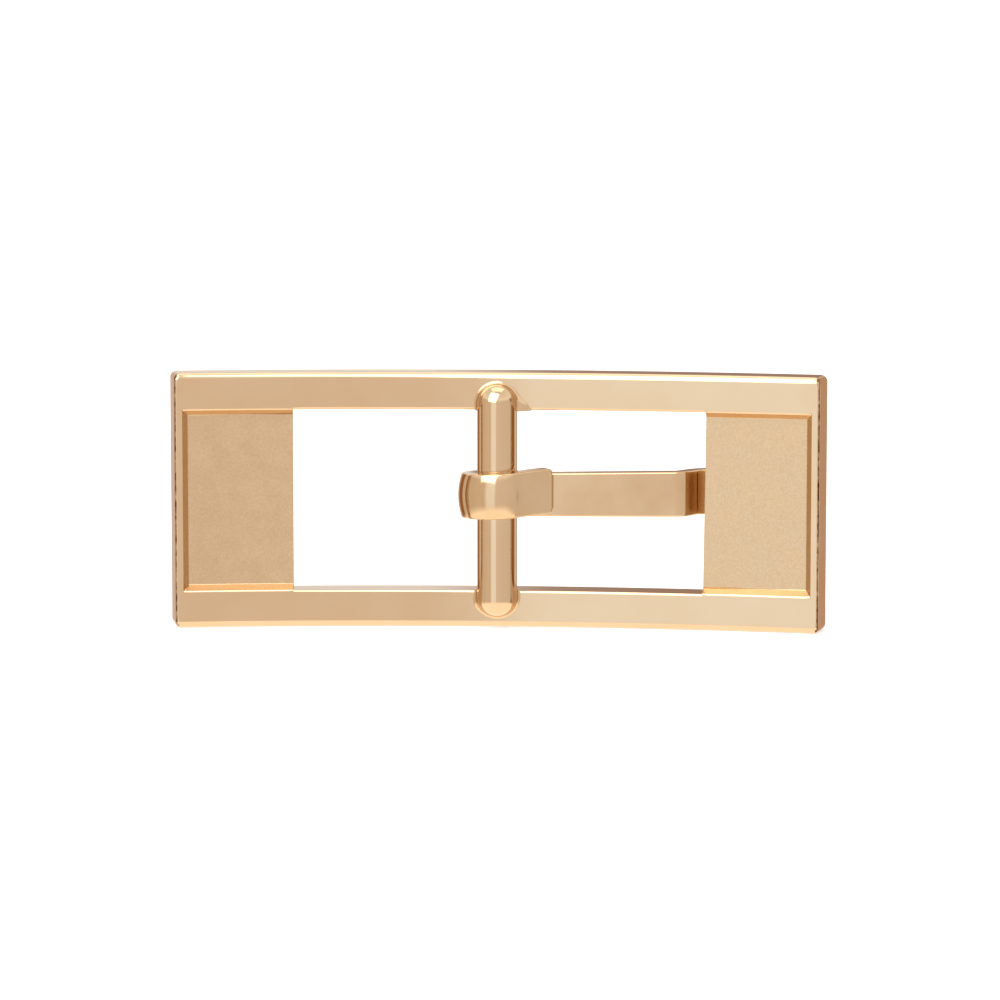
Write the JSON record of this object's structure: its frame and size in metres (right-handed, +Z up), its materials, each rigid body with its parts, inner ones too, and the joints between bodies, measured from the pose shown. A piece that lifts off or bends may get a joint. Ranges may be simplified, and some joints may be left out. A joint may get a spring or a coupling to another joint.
{
  "type": "belt buckle",
  "caption": "Long rectangular centre-bar buckle: bowed frame with a wide window and solid ends, a round bar across the back and a folded prong that swings on it.",
  "frame": {"origin": "middle of the centre bar, on its axis", "axes": "+X along the buckle's length towards the prong's tip, +Y from the back to the front as worn, +Z up along the bar"},
  "size_m": [0.0942, 0.012, 0.0366],
  "materials": {
    "frame": "pale gold plate, polished on the rails, rims and front, matte in the recesses",
    "centre_bar": "pale gold plate, polished",
    "prong": "pale gold plate, polished"
  },
  "bodies": {
    "buckle": {"frame": "frame", "centre_bar": "centre_bar"},
    "prong": {"prong": "prong"}
  },
  "joints": [
    {"name": "prong_pivot", "type": "hinge", "parent": "buckle", "child": "prong", "pos_m": [0, 0, 0], "axis": [0, 0, 1], "range_deg": [0, 157]}
  ]
}
